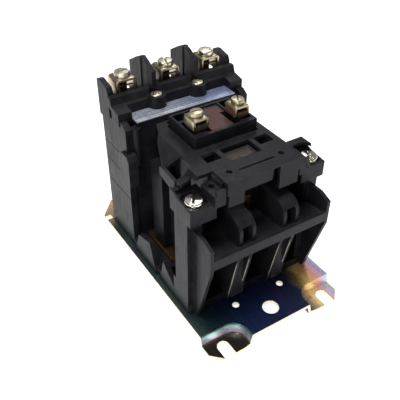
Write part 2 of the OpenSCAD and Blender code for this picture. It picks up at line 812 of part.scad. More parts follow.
line_screw(0);  // line_screw_centre
line_screw(1);  // line_screw_right
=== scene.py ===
import bpy
import bmesh
import math
from mathutils import Matrix, Vector


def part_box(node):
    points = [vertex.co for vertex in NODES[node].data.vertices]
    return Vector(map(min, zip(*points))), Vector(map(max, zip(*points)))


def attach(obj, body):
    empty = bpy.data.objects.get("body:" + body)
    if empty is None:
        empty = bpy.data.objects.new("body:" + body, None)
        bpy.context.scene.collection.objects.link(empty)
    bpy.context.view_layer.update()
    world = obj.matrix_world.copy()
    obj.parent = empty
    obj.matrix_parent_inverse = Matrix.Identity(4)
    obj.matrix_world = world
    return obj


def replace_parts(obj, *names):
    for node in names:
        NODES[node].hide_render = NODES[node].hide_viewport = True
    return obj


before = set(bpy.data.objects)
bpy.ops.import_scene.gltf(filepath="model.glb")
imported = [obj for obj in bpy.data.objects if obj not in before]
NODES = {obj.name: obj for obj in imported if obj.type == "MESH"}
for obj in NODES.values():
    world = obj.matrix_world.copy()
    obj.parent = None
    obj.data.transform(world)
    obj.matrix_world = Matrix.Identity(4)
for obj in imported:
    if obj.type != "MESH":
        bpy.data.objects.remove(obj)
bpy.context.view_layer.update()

MM = 0.001
MID_Y = 79.0  # the plate's front edge is this far in front of the origin, in millimetres
SHARP = math.radians(50.0)  # metal edges that turn by more than this are rounded
POLES = {"left": -28.0, "centre": 0.0, "right": 28.0}
SIDES = {"left": -12.9, "right": 12.9}
scene = bpy.context.scene


# ---- Node materials; every length inside a material is in millimetres ----

class Shader:
    def __init__(self, name, metallic=0.0, ior=1.5, coat=0.0, coat_rough=0.2, specular=0.5):
        self.mat = bpy.data.materials.new(name)
        self.mat.use_nodes = True
        self.nodes = self.mat.node_tree.nodes
        self.links = self.mat.node_tree.links
        self.nodes.clear()
        self.bsdf = self.nodes.new("ShaderNodeBsdfPrincipled")
        out = self.nodes.new("ShaderNodeOutputMaterial")
        self.links.new(self.bsdf.outputs[0], out.inputs[0])
        self.bsdf.inputs["Metallic"].default_value = metallic
        self.bsdf.inputs["IOR"].default_value = ior
        self.bsdf.inputs["Coat Weight"].default_value = coat
        self.bsdf.inputs["Coat Roughness"].default_value = coat_rough
        self.bsdf.inputs["Specular IOR Level"].default_value = specular
        coord = self.nodes.new("ShaderNodeTexCoord")
        self.pos = self.vector("SCALE", coord.outputs["Object"], scale=1000.0)

    def put(self, socket, value):
        if isinstance(value, bpy.types.NodeSocket):
            self.links.new(value, socket)
        elif value is not None:
            socket.default_value = value

    def vector(self, op, a, b=None, scale=None):
        n = self.nodes.new("ShaderNodeVectorMath")
        n.operation = op
        self.put(n.inputs[0], a)
        self.put(n.inputs[1], b)
        if scale is not None:
            n.inputs["Scale"].default_value = scale
        return n.outputs["Value"] if op == "DOT_PRODUCT" else n.outputs[0]

    def math(self, op, a, b=None):
        n = self.nodes.new("ShaderNodeMath")
        n.operation = op
        for socket, value in zip(n.inputs, (a, b)):
            self.put(socket, value)
        return n.outputs[0]

    def spread(self, value, lo, hi, to_lo=0.0, to_hi=1.0, smooth=False):
        n = self.nodes.new("ShaderNodeMapRange")
        n.interpolation_type = "SMOOTHSTEP" if smooth else "LINEAR"
        keys = ("Value", "From Min", "From Max", "To Min", "To Max")
        for key, v in zip(keys, (value, lo, hi, to_lo, to_hi)):
            self.put(n.inputs[key], v)
        return n.outputs[0]

    def noise(self, scale, detail=3.0, rough=0.55, distort=0.0, vec=None):
        n = self.nodes.new("ShaderNodeTexNoise")
        self.put(n.inputs["Vector"], vec or self.pos)
        n.inputs["Scale"].default_value = scale
        n.inputs["Detail"].default_value = detail
        n.inputs["Roughness"].default_value = rough
        n.inputs["Distortion"].default_value = distort
        return n.outputs[0]

    def stretched(self, x, y, z):
        return self.vector("MULTIPLY", self.pos, (x, y, z))

    def ramp(self, factor, stops):
        n = self.nodes.new("ShaderNodeValToRGB")
        n.color_ramp.interpolation = "LINEAR"
        while len(n.color_ramp.elements) < len(stops):
            n.color_ramp.elements.new(0.5)
        for e, (position, colour) in zip(n.color_ramp.elements, stops):
            e.position = position
            e.color = (*colour, 1.0)
        self.put(n.inputs[0], factor)
        return n.outputs[0]

    def mix(self, factor, a, b, mode="MIX"):
        n = self.nodes.new("ShaderNodeMix")
        n.data_type = "RGBA"
        n.blend_type = mode
        self.put(n.inputs["Factor"], factor)
        for socket, v in ((n.inputs[6], a), (n.inputs[7], b)):
            self.put(socket, (*v, 1.0) if isinstance(v, tuple) else v)
        return n.outputs[2]

    def xyz(self, vec=None):
        n = self.nodes.new("ShaderNodeSeparateXYZ")
        self.put(n.inputs[0], vec or self.pos)
        return n.outputs

    def normal(self):
        return self.nodes.new("ShaderNodeNewGeometry").outputs["Normal"]

    def rounded(self, radius):
        n = self.nodes.new("ShaderNodeBevel")
        n.samples = 4
        n.inputs["Radius"].default_value = radius * MM
        return n.outputs[0]

    def edges(self, rounded):
        """1 on outer and inner edges, 0 on flats."""
        flat, edge = 0.01, 0.16
        same = self.vector("DOT_PRODUCT", rounded, self.normal())
        return self.spread(self.math("SUBTRACT", 1.0, same), flat, edge)

    def hollows(self, distance):
        n = self.nodes.new("ShaderNodeAmbientOcclusion")
        n.samples = 4
        n.inputs["Distance"].default_value = distance * MM
        return self.math("SUBTRACT", 1.0, n.outputs["AO"])

    def bump(self, height, distance, strength=1.0, normal=None):
        n = self.nodes.new("ShaderNodeBump")
        n.inputs["Strength"].default_value = strength
        n.inputs["Distance"].default_value = distance * MM
        self.put(n.inputs["Height"], height)
        self.put(n.inputs["Normal"], normal)
        return n.outputs[0]

    def finish(self, colour, rough, normal):
        self.put(self.bsdf.inputs["Base Color"], colour)
        self.put(self.bsdf.inputs["Roughness"], rough)
        self.put(self.bsdf.inputs["Normal"], normal)
        return self.mat


def moulded(name, dark, light, worn, rough=0.42, grain=0.05, edge=0.3):
    """Compression-moulded plastic: cloudy, with a fine grain, paler edges that are partly rubbed wear and
    partly painted highlight, and dust in the corners.
    """
    s = Shader(name, specular=0.14)
    cloud = s.noise(0.09, 4, 0.6, 0.6)
    speck = s.noise(2.6, 3, 0.7)
    rounded = s.rounded(edge)
    body = s.mix(s.spread(cloud, 0.35, 0.68), dark, light)
    body = s.mix(s.spread(speck, 0.62, 0.8, 0.0, 0.25), body, worn)
    # Paler edges: partly rubbed wear, partly painted highlight.
    rub_and_highlight = s.math("MULTIPLY", s.edges(rounded), s.spread(s.noise(0.7, 3, 0.6), 0.3, 0.65, 0.25, 1.0))
    body = s.mix(s.math("MULTIPLY", rub_and_highlight, 0.75), body, worn)
    dust = s.math("MULTIPLY", s.hollows(3.0), s.spread(s.noise(0.5, 4, 0.65), 0.45, 0.75, 0.0, 0.35))
    body = s.mix(dust, body, (0.12, 0.11, 0.10))
    streak = s.noise(0.5, 3, 0.6, vec=s.stretched(1.0, 1.0, 0.12))
    roughness = s.spread(s.math("ADD", cloud, streak), 0.7, 1.3, rough - 0.1, rough + 0.12)
    skin = s.bump(s.noise(4.5, 2, 0.6), grain, 0.35, rounded)
    flow = s.bump(s.noise(0.06, 2, 0.4), 0.6, 0.25, skin)
    return s.finish(body, roughness, flow)


def plated(name, bright, warm, dull, rough=0.26, scratch=(1.0, 1.0, 1.0), edge=0.2, stain=0.35):
    """Electroplated steel or brass: uneven tint, brushed scratches, dull freckles, painted shade that dulls
    the hollows, and paler edges that are partly wear and partly painted highlight.
    """
    s = Shader(name, metallic=1.0)
    rounded = s.rounded(edge)
    tint = s.mix(s.spread(s.noise(0.22, 4, 0.6, 0.8), 0.3, 0.7), bright, warm)
    freckle = s.spread(s.noise(1.3, 5, 0.7), 0.56, 0.72, 0.0, stain)
    tint = s.mix(freckle, tint, dull)
    # Painted shade: the tint dulls in the hollows.
    tint = s.mix(s.math("MULTIPLY", s.hollows(1.2), 0.6), tint, dull)
    # Paler edges: partly wear, partly painted highlight.
    tint = s.mix(s.math("MULTIPLY", s.edges(rounded), 0.45), tint, bright)
    lines = s.noise(1.6, 3, 0.7, vec=s.stretched(*scratch))
    roughness = s.spread(s.math("ADD", freckle, lines), 0.3, 1.1, rough - 0.08, rough + 0.2)
    return s.finish(tint, roughness, s.bump(lines, 0.02, 0.5, rounded))


def chromate_plate():
    """Iridescent zinc chromate: dark blue in the middle, where the dark is painted reflection of the black
    housing; gold to pale blue at the right, partly tint and partly painted reflection of the bright floor;
    rose to teal low left, with a painted highlight and a painted dark reflection on the foot.
    """
    s = Shader("zinc_chromate_plate", metallic=0.55)
    rounded = s.rounded(0.35)
    x, y, z = s.xyz()
    drift = s.noise(0.055, 3, 0.5, 0.7)
    fine = s.noise(0.5, 4, 0.6)
    across = s.math("ADD", x, s.spread(drift, 0.2, 0.8, -3.0, 3.0))
    across = s.math("ADD", across, s.spread(fine, 0.3, 0.7, -0.8, 0.8))
    # The dark blues in the middle of this ramp are painted reflection of the black housing; the bright
    # gold-to-pale end on the right foot is partly tint, partly painted reflection of the floor.
    film_and_reflection = s.ramp(s.spread(across, -50.0, 50.0), [
        (0.00, (0.12, 0.16, 0.13)), (0.12, (0.014, 0.045, 0.050)), (0.24, (0.009, 0.028, 0.060)),
        (0.34, (0.010, 0.026, 0.085)), (0.55, (0.013, 0.024, 0.095)), (0.72, (0.02, 0.034, 0.08)),
        (0.765, (0.26, 0.19, 0.08)), (0.80, (0.96, 0.66, 0.20)), (0.84, (0.98, 0.58, 0.26)),
        (0.875, (0.96, 0.46, 0.32)), (0.905, (0.78, 0.46, 0.62)), (0.935, (0.52, 0.52, 0.80)),
        (0.965, (0.56, 0.76, 0.60)), (1.00, (0.90, 0.90, 0.74))])
    low = s.spread(z, 7.3, 4.6, smooth=True)
    left = s.spread(across, -20.0, -24.0)
    # Low left foot: the dark brown flat is painted dark reflection of the housing and the near-white band
    # above it a painted highlight, then rose and teal tint.
    slope_highlight_and_reflection = s.ramp(s.spread(z, 1.6, 7.6), [
        (0.00, (0.030, 0.022, 0.017)), (0.16, (0.030, 0.022, 0.017)), (0.24, (0.98, 0.95, 0.92)),
        (0.48, (0.86, 0.68, 0.88)), (0.74, (0.50, 0.84, 0.86)), (0.93, (0.36, 0.66, 0.56)),
        (1.00, (0.03, 0.09, 0.09))])
    film_and_reflection = s.mix(s.math("MULTIPLY", left, s.spread(z, 7.9, 7.4)), film_and_reflection, slope_highlight_and_reflection)
    # Paler gold on the low right foot: partly tint, partly painted reflection of the floor.
    gold = s.math("MULTIPLY", low, s.spread(across, 20.0, 26.0))
    film_and_reflection = s.mix(s.math("MULTIPLY", gold, 0.25), film_and_reflection, (0.98, 0.80, 0.55))
    rear = s.spread(y, 40.0, 66.0)
    film_and_reflection = s.mix(rear, film_and_reflection, (0.90, 0.62, 0.36))
    violet = s.spread(s.noise(0.05, 2, 0.5, 0.9), 0.55, 0.7, 0.0, 0.5)
    violet = s.math("MULTIPLY", violet, s.spread(across, 22.0, 18.0))
    film_and_reflection = s.mix(violet, film_and_reflection, (0.05, 0.022, 0.09))
    # Cut faces and rounded edges are paler: partly bare metal and wear, partly painted highlight.
    cut = s.spread(s.math("ABSOLUTE", s.xyz(s.normal())[2]), 0.08, 0.18, 1.0, 0.0)
    film_and_reflection = s.mix(cut, film_and_reflection, (0.86, 0.80, 0.60))
    film_and_reflection = s.mix(s.math("MULTIPLY", s.edges(rounded), 0.7), film_and_reflection, (0.92, 0.86, 0.70))
    smear = s.noise(0.35, 4, 0.65, vec=s.stretched(1.0, 0.15, 1.0))
    film_and_reflection = s.mix(s.spread(smear, 0.62, 0.85, 0.0, 0.12), film_and_reflection, (0.30, 0.27, 0.22))
    roughness = s.spread(s.math("ADD", smear, fine), 0.7, 1.4, 0.22, 0.40)
    return s.finish(film_and_reflection, roughness, s.bump(s.noise(0.11, 2, 0.5), 0.5, 0.3, rounded))


def laminated(name, base, gap, pitch=0.6):
    """Stacked electrical-steel laminations across X, edges slightly rusty."""
    s = Shader(name, metallic=0.85)
    x = s.xyz()[0]
    phase = s.math("FRACT", s.math("DIVIDE", s.math("ADD", x, 100.0), pitch))
    groove = s.spread(s.math("ABSOLUTE", s.math("SUBTRACT", phase, 0.5)), 0.34, 0.5)
    tone = s.noise(0.3, 4, 0.6)
    colour = s.mix(s.spread(tone, 0.35, 0.7), base, (0.075, 0.05, 0.035))
    sheet = s.noise(1.7, 1, 0.5, vec=s.stretched(1.0, 0.02, 0.02))
    colour = s.mix(s.spread(sheet, 0.3, 0.7, 0.0, 0.4), colour, (0.20, 0.19, 0.18))
    colour = s.mix(groove, colour, gap)
    height = s.math("SUBTRACT", 1.0, groove)
    return s.finish(colour, s.spread(tone, 0.3, 0.7, 0.35, 0.6), s.bump(height, 0.12, 0.8, s.rounded(0.2)))


def wound(name):
    """Fine enamelled wire wound round Z under a clear varnish."""
    s = Shader(name, metallic=0.6, coat=0.5, coat_rough=0.15)
    z = s.xyz()[2]
    turn = s.math("SINE", s.math("MULTIPLY", z, 18.0))
    tone = s.noise(0.5, 3, 0.6, vec=s.stretched(0.1, 0.1, 2.0))
    colour = s.mix(s.spread(tone, 0.3, 0.7), (0.16, 0.060, 0.030), (0.08, 0.030, 0.018))
    return s.finish(colour, s.spread(tone, 0.3, 0.7, 0.25, 0.45), s.bump(turn, 0.1, 0.7, None))


def printed_foil():
    """Label of silvery foil with cloudy blue print, rows of short bars and a white strip along the front."""
    s = Shader("label_foil", metallic=0.55, specular=0.5)
    x, y, _ = s.xyz()
    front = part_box("label_plate")[0][1] * 1000
    depth = s.math("SUBTRACT", y, front)
    cloud = s.noise(0.10, 4, 0.6, 0.5)
    side = s.spread(s.math("ADD", x, s.spread(cloud, 0.3, 0.7, -14.0, 14.0)), -18.0, 20.0)
    colour = s.mix(side, (0.56, 0.58, 0.66), (0.27, 0.33, 0.50))
    blotch = s.spread(s.noise(0.55, 5, 0.7), 0.5, 0.68)
    colour = s.mix(s.math("MULTIPLY", blotch, 0.6), colour, (0.16, 0.24, 0.50))
    strip = s.math("MULTIPLY", s.math("LESS_THAN", depth, 3.0), s.spread(x, 4.0, 12.0, 1.0, 0.25))
    colour = s.mix(s.math("MULTIPLY", strip, 0.8), colour, (0.80, 0.82, 0.88))
    row = s.math("FRACT", s.math("DIVIDE", depth, 2.1))
    in_row = s.math("MULTIPLY", s.math("GREATER_THAN", row, 0.32), s.math("LESS_THAN", row, 0.72))
    cell = s.noise(1.0, 2, 0.5, vec=s.stretched(1.6, 0.0, 0.0))
    column = s.noise(0.16, 1, 0.5, vec=s.stretched(1.0, 3.1, 0.0))
    bars = s.math("MULTIPLY", s.spread(cell, 0.46, 0.52), s.spread(column, 0.40, 0.46))
    bars = s.math("MULTIPLY", bars, in_row)
    colour = s.mix(s.math("MULTIPLY", bars, 0.85), colour, (0.05, 0.07, 0.20))
    worn = s.spread(s.noise(1.6, 5, 0.75), 0.60, 0.70)
    colour = s.mix(s.math("MULTIPLY", worn, 0.7), colour, (0.70, 0.71, 0.74))
    rounded = s.rounded(0.15)
    # Paler edges: partly wear, partly painted highlight.
    colour = s.mix(s.math("MULTIPLY", s.edges(rounded), 0.7), colour, (0.85, 0.86, 0.88))
    wave = s.bump(s.noise(0.14, 2, 0.5), 0.5, 0.35, rounded)
    return s.finish(colour, s.spread(cloud, 0.3, 0.7, 0.24, 0.42), s.bump(bars, 0.02, 0.4, wave))


def coil_print():
    """Black insert with a patch of faded dull-red print made of generic blocks."""
    s = Shader("coil_insert", specular=0.35)
    x, y, _ = s.xyz()
    cloud = s.noise(0.16, 4, 0.65, 0.8)
    patch = s.math("MULTIPLY", s.spread(s.math("ABSOLUTE", x), 7.5, 10.0, 1.0, 0.0),
                   s.spread(s.math("ABSOLUTE", s.math("ADD", y, 6.0)), 9.0, 12.0, 1.0, 0.0))
    patch = s.math("MULTIPLY", patch, s.spread(cloud, 0.38, 0.58, 0.25, 1.0))
    colour = s.mix(patch, (0.020, 0.019, 0.021), (0.075, 0.028, 0.026))
    row = s.math("FRACT", s.math("DIVIDE", s.math("ADD", y, 60.0), 2.6))
    in_row = s.math("MULTIPLY", s.math("GREATER_THAN", row, 0.25), s.math("LESS_THAN", row, 0.75))
    blocks = s.spread(s.noise(0.75, 2, 0.5, vec=s.stretched(1.0, 0.0, 0.0)), 0.48, 0.54)
    ink = s.math("MULTIPLY", s.math("MULTIPLY", blocks, in_row), patch)
    colour = s.mix(s.math("MULTIPLY", ink, 0.65), colour, (0.17, 0.050, 0.045))
    dust = s.spread(s.noise(2.2, 4, 0.7), 0.58, 0.75, 0.0, 0.4)
    colour = s.mix(dust, colour, (0.08, 0.07, 0.07))
    skin = s.bump(s.noise(3.0, 2), 0.04, 0.4, s.rounded(0.25))
    return s.finish(colour, s.spread(cloud, 0.3, 0.7, 0.4, 0.6), skin)


def floor_paper():
    """White paper lit from below as well, like a light table."""
    s = Shader("paper_floor", specular=0.2)
    s.bsdf.inputs["Emission Color"].default_value = (1.0, 1.0, 1.0, 1.0)
    s.bsdf.inputs["Emission Strength"].default_value = 0.9
    tone = s.noise(0.004, 3, 0.5)
    colour = s.mix(s.spread(tone, 0.3, 0.7), (0.60, 0.60, 0.60), (0.66, 0.66, 0.66))
    return s.finish(colour, s.spread(tone, 0.3, 0.7, 0.7, 0.85), s.bump(s.noise(0.8, 3), 0.05, 0.2))


BLACK = moulded("black_phenolic", (0.009, 0.009, 0.011), (0.020, 0.020, 0.024), (0.085, 0.085, 0.095))
LATCH = moulded("latch_phenolic", (0.012, 0.012, 0.014), (0.026, 0.026, 0.029), (0.10, 0.10, 0.105), 0.38)
SHELL = moulded("coil_phenolic", (0.007, 0.007, 0.009), (0.014, 0.014, 0.017), (0.085, 0.085, 0.095), 0.35)
BROWN = moulded("brown_phenolic", (0.010, 0.007, 0.006), (0.017, 0.011, 0.009), (0.05, 0.036, 0.030))
NYLON = moulded("bobbin_nylon", (0.55, 0.50, 0.38), (0.66, 0.61, 0.48), (0.74, 0.70, 0.60), 0.45)
STEEL = plated("zinc_plated_steel", (0.86, 0.84, 0.78), (0.80, 0.74, 0.60), (0.34, 0.29, 0.20), 0.3)
SCREW = plated("terminal_screw_plate", (0.92, 0.88, 0.78), (0.86, 0.77, 0.58), (0.46, 0.37, 0.22), 0.36)
CLAMP = plated("passivated_clamp", (0.62, 0.55, 0.41), (0.48, 0.39, 0.24), (0.20, 0.15, 0.08), 0.34,
               (0.3, 1.6, 1.0), 0.3, 0.45)
BRASS = plated("bright_brass", (0.97, 0.95, 0.88), (0.95, 0.90, 0.74), (0.50, 0.42, 0.26), 0.22)
SPRING = plated("spring_wire", (0.66, 0.66, 0.68), (0.56, 0.55, 0.55), (0.22, 0.20, 0.18), 0.3)
# Painted shade: the copper is darkened because the contacts, bridge and rings sit in shade inside the
# housing.
COPPER_SHADED = plated("copper_strip_shaded", (0.26, 0.15, 0.10), (0.18, 0.10, 0.065), (0.07, 0.04, 0.03), 0.42)
# Painted shade: the tinned strips are darkened to dull brown because they sit in shade in the terminal
# pockets.
TIN_SHADED = plated("tinned_strip_shaded", (0.12, 0.095, 0.065), (0.08, 0.06, 0.04), (0.04, 0.03, 0.02), 0.6)
# Painted shade: the pads and screw shanks are darkened because they sit in shade inside the clamps.
PAD_SHADED = plated("pressure_pad_bronze_shaded", (0.14, 0.105, 0.06), (0.10, 0.07, 0.04), (0.04, 0.03, 0.02), 0.55)
SILVER = plated("silver_contact", (0.90, 0.90, 0.90), (0.80, 0.79, 0.76), (0.30, 0.28, 0.26), 0.3)
PALE_EDGE = moulded("pale_rib_edge", (0.30, 0.26, 0.19), (0.48, 0.43, 0.34), (0.66, 0.62, 0.54), 0.4)
# Painted shade: the lamination base colour is darkened because the cores sit in shade under the cover.
CORE_SHADED = laminated("core_laminations_shaded", (0.13, 0.12, 0.11), (0.02, 0.016, 0.014))
WINDING = wound("enamelled_winding")
PLATE = chromate_plate()
FOIL = printed_foil()
INSERT = coil_print()
PAPER = floor_paper()

MATERIAL_OF = {
    "base_plate": PLATE, "plate_screws": STEEL, "side_latches": LATCH, "label_plate": FOIL,
    "coil_cover_washers": STEEL, "thread_inserts": BRASS, "fixed_contact_tips": SILVER,
    "contact_carrier": BROWN, "armature_core": CORE_SHADED, "fixed_core": CORE_SHADED, "armature_pin": STEEL,
    "return_springs": SPRING, "shading_rings": COPPER_SHADED, "core_spring_clip": SPRING,
    "coil_bobbin": NYLON, "coil_winding": WINDING, "coil_shell": SHELL, "coil_name_plate": INSERT,
}
PREFIX_MATERIAL = {
    "line_contact": TIN_SHADED, "load_contact": COPPER_SHADED, "contact_bridge": COPPER_SHADED, "bridge_tips": SILVER,
    "contact_spring": SPRING, "coil_terminal": TIN_SHADED,
}
for node_name, node in NODES.items():
    material = MATERIAL_OF.get(node_name)
    for prefix, choice in PREFIX_MATERIAL.items():
        if node_name.startswith(prefix):
            material = choice
    for material_slot in node.material_slots:
        material_slot.material = material or BLACK


# ---- Mesh building; sizes in millimetres, y measured from the plate's front edge ----

def at(x, y, z):
    return Vector((x * MM, (y - MID_Y) * MM, z * MM))


def new_piece(name, bm, body, material, smooth=None):
    mesh = bpy.data.meshes.new(name)
    bmesh.ops.recalc_face_normals(bm, faces=bm.faces)
    bm.to_mesh(mesh)
    bm.free()
    mesh.materials.append(material)
    if smooth is not None:
        mesh.shade_smooth()
        mesh.set_sharp_from_angle(angle=math.radians(smooth))
    obj = bpy.data.objects.new(name, mesh)
    scene.collection.objects.link(obj)
    if body:
        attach(obj, body)
    return obj


def join_rings(bm, rings):
    """Joins rings of equally many points into a tube with open ends."""
    for low, high in zip(rings, rings[1:]):
        for i in range(len(low)):
            j = (i + 1) % len(low)
            bm.faces.new((low[i], low[j], high[j], high[i]))


def lathe(bm, profile, x, y, steps):
    """Turns (radius, z) points round a vertical axis; a radius of 0 closes the end."""
    rings = []
    for radius, z in profile:
        if radius == 0:
            rings.append([bm.verts.new(at(x, y, z))])
        else:
            rings.append([bm.verts.new(at(x + radius * math.cos(a), y + radius * math.sin(a), z))
                          for a in (2 * math.pi * i / steps for i in range(steps))])
    for low, high in zip(rings, rings[1:]):
        for i in range(steps):
            j = (i + 1) % steps
            if len(low) == 1 and len(high) == 1:
                continue
            if len(low) == 1:
                bm.faces.new((low[0], high[i], high[j]))
            elif len(high) == 1:
                bm.faces.new((low[i], low[j], high[0]))
            else:
                bm.faces.new((low[i], low[j], high[j], high[i]))


def add_box(bm, x0, x1, y0, y1, z0, z1, turn=0.0, about=None):
    verts = [at(x, y, z) for z in (z0, z1) for y in (y0, y1) for x in (x0, x1)]
    if turn:
        pivot = at(*about)
        spin = Matrix.Rotation(turn, 3, "Z")
        verts = [pivot + spin @ (v - pivot) for v in verts]
    v = [bm.verts.new(p) for p in verts]
    for f in ((0, 2, 3, 1), (4, 5, 7, 6), (0, 1, 5, 4), (2, 6, 7, 3), (0, 4, 6, 2), (1, 3, 7, 5)):
        bm.faces.new([v[i] for i in f])


def drill(x, y, radius, bottom, top, steps):
    """A cylinder to cut a screw hole with."""
    bm = bmesh.new()
    lathe(bm, [(0, bottom), (radius, bottom), (radius, top), (0, top)], x, y, steps)
    return bm


def rounded_box(bm, x0, x1, y0, y1, z0, z1, radius):
    part = bmesh.new()
    add_box(part, x0, x1, y0, y1, z0, z1)
    bmesh.ops.bevel(part, geom=part.edges[:], offset=radius * MM, segments=3, affect="EDGES", profile=0.5)
    merge(bm, part)


def merge(bm, part):
    mesh = bpy.data.meshes.new("scratch")
    part.to_mesh(mesh)
    part.free()
    bm.from_mesh(mesh)
    bpy.data.meshes.remove(mesh)


def carve(bm, cutter):
    """Subtracts one closed mesh from another and returns the result."""
    made = []
    for part in (bm, cutter):
        bmesh.ops.recalc_face_normals(part, faces=part.faces)
        mesh = bpy.data.meshes.new("scratch")
        part.to_mesh(mesh)
        part.free()
        obj = bpy.data.objects.new("scratch", mesh)
        scene.collection.objects.link(obj)
        made.append(obj)
    cut = made[0].modifiers.new("cut", "BOOLEAN")
    cut.object = made[1]
    cut.solver = "EXACT"
    bpy.context.view_layer.update()
    result = bmesh.new()
    shape = made[0].evaluated_get(bpy.context.evaluated_depsgraph_get())
    result.from_mesh(shape.to_mesh())
    shape.to_mesh_clear()
    for obj in made:
        mesh = obj.data
        bpy.data.objects.remove(obj)
        bpy.data.meshes.remove(mesh)
    return result


def soften(bm, radius):
    """Rounds the sharp edges of a closed mesh."""
    edges = [e for e in bm.edges if len(e.link_faces) == 2 and e.calc_face_angle(0.0) > SHARP]
    bmesh.ops.bevel(bm, geom=edges, offset=radius * MM, segments=2, affect="EDGES",
                    clamp_overlap=True, profile=0.5)


def thread(bm, x, y, top, bottom, shank_r, pitch):
    """A V-shaped helical ridge standing on a shank, fading out at both ends."""
    steps, fade = 24, 12.0
    inner, outer = shank_r * 0.88, shank_r * 0.99
    flank = pitch * 0.42
    count = int((top - bottom - pitch) / pitch * steps)
    rings = []
    for i in range(count + 1):
        a = 2 * math.pi * i / steps
        z = top - pitch / 2 - pitch * i / steps
        crest = inner + (outer - inner) * min(1.0, i / fade, (count - i) / fade)
        section = ((inner - 0.05, flank), (crest, 0.0), (inner - 0.05, -flank))
        rings.append([bm.verts.new(at(x + r * math.cos(a), y + r * math.sin(a), z + dz))
                      for r, dz in section])
    join_rings(bm, rings)
    bm.faces.new(rings[0])
    bm.faces.new(list(reversed(rings[-1])))


def screw_outline(top, bottom, head_r, head_h, shank_r, dome):
    """(radius, z) points of a domed head and its shank, from the crown down."""
    seat = top - head_h
    steps = 7
    outline = [(0, top)]
    for i in range(1, steps + 1):
        a = math.pi / 2 * i / steps
        r = head_r * (0.72 + 0.28 * math.sin(a))
        if i < 3:
            r *= (i / steps) ** 0.5
        outline.append((r, top - dome * head_h * (1 - math.cos(a)) - 0.02))
    rim = [(head_r, seat + 0.22 * head_h), (head_r * 0.985, seat + 0.04), (head_r * 0.95, seat)]
    shank = [(shank_r * 0.9, seat), (shank_r * 0.9, bottom + 0.5), (shank_r * 0.6, bottom), (0, bottom)]
    return outline + rim + shank


def screw(name, node, x, y, size, turns, material, body="root"):
    """A pan-head screw as tall as its CAD node, with a threaded shank and a cut slot at each angle.

    Two slots stay inside the head, as a cross recess."""
    head_r, head_h, shank_r, slot, dome, pitch = size
    low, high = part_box(node)
    top, bottom = high[2] * 1000, low[2] * 1000
    seat, slot_floor = top - head_h, top - 0.55 * head_h
    reach = head_r * (0.55 if len(turns) > 1 else 1.3)
    head = bmesh.new()
    lathe(head, screw_outline(top, bottom, head_r, head_h, shank_r, dome), x, y, 72)
    for turn in turns:
        cutter = bmesh.new()
        add_box(cutter, x - reach, x + reach, y - slot / 2, y + slot / 2, slot_floor, top + 2,
                turn, (x, y, 0))
        head = carve(head, cutter)
    soften(head, 0.12)
    thread(head, x, y, seat - 0.6, bottom + 0.5, shank_r, pitch)
    obj = new_piece(name, head, body, material, 35)
    # Painted shade: below the head the shank and thread take the dark pad material, as they sit in shade
    # inside the clamps.
    obj.data.materials.append(PAD_SHADED)
    for face in obj.data.polygons:
        if face.center.z < (seat - 0.2) * MM:
            face.material_index = 1
    return obj


def bent_strip(width, top, leg, t, bend, steps=6):
    """Outline of an inverted U of sheet: (x, z) points round the outside and back along the inside."""
    outer, inner = [], []
    half = width / 2
    for side in (-1, 1):
        line_out, line_in = [], []
        for i in range(steps + 1):
            a = math.pi / 2 * i / steps
            cx, cz = half - bend, top - bend
            line_out.append((side * (cx + bend * math.cos(a)), cz + bend * math.sin(a)))
            r = max(bend - t, 0.25)
            cx, cz = half - t - r, top - t - r
            line_in.append((side * (cx + r * math.cos(a)), cz + r * math.sin(a)))
        outer.append([(side * half, leg)] + line_out)
        inner.append([(side * (half - t), leg)] + line_in)
    return outer[0] + list(reversed(outer[1])) + inner[1] + list(reversed(inner[0]))


def saddle(name, node, x, y, size, body):
    """A bent-sheet saddle clamp as tall as its CAD node, with rounded bends and a screw hole."""
    width, depth, sheet, bend, hole = size
    low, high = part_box(node)
    top, leg = high[2] * 1000, low[2] * 1000
    outline = bent_strip(width, top, leg, sheet, bend)
    bm = bmesh.new()
    slices = 5
    rings = []
    for k in range(slices):
        slice_y = y - depth / 2 + depth * k / (slices - 1)
        rings.append([bm.verts.new(at(x + px, slice_y, pz)) for px, pz in outline])
    join_rings(bm, rings)
    bm.faces.new(list(reversed(rings[0])))
    bm.faces.new(rings[-1])
    bm = carve(bm, drill(x, y, hole, leg - 2, top + 2, 40))
    soften(bm, 0.22)
    return new_piece(name, bm, body, CLAMP, 35)


def pressure_pad(pole, x, y, hole):
    """The ribbed plate under a line clamp's top, with a lip that stops the wire."""
    half_w, half_d = 4.6, 5.3
    under, top, lip = 106.6, 108.6, 101.6
    pad = bmesh.new()
    rounded_box(pad, x - half_w, x + half_w, y - half_d, y + half_d, under, top, 0.3)
    for k in range(5):
        rib = y - 4.9 + 2.2 * k
        rounded_box(pad, x - 4.4, x + 4.4, rib, rib + 1.0, under - 0.5, under + 0.2, 0.15)
    rounded_box(pad, x - half_w, x + half_w, y + half_d - 1.1, y + half_d, lip, under + 0.6, 0.3)
    pad = carve(pad, drill(x, y, hole, under - 1.6, top + 1.4, 32))
    # The pad material is darkened as painted shade inside the clamp.
    new_piece("line_pressure_pad_" + pole, pad, "line_clamp_" + pole, PAD_SHADED, 30)


# ---- Terminals and cover screws ----

# Screw sizes: head radius, head height, shank radius, slot width, share of the head that is domed, pitch
LINE_SCREW = (4.6, 3.0, 2.5, 1.25, 0.42, 0.8)
COIL_SCREW = (3.6, 2.9, 1.75, 0.95, 0.45, 0.7)
ARC_SCREW = (3.5, 2.4, 2.0, 0.9, 0.4, 0.8)
CORNER_SCREW = (4.8, 3.4, 2.1, 1.3, 0.4, 0.8)
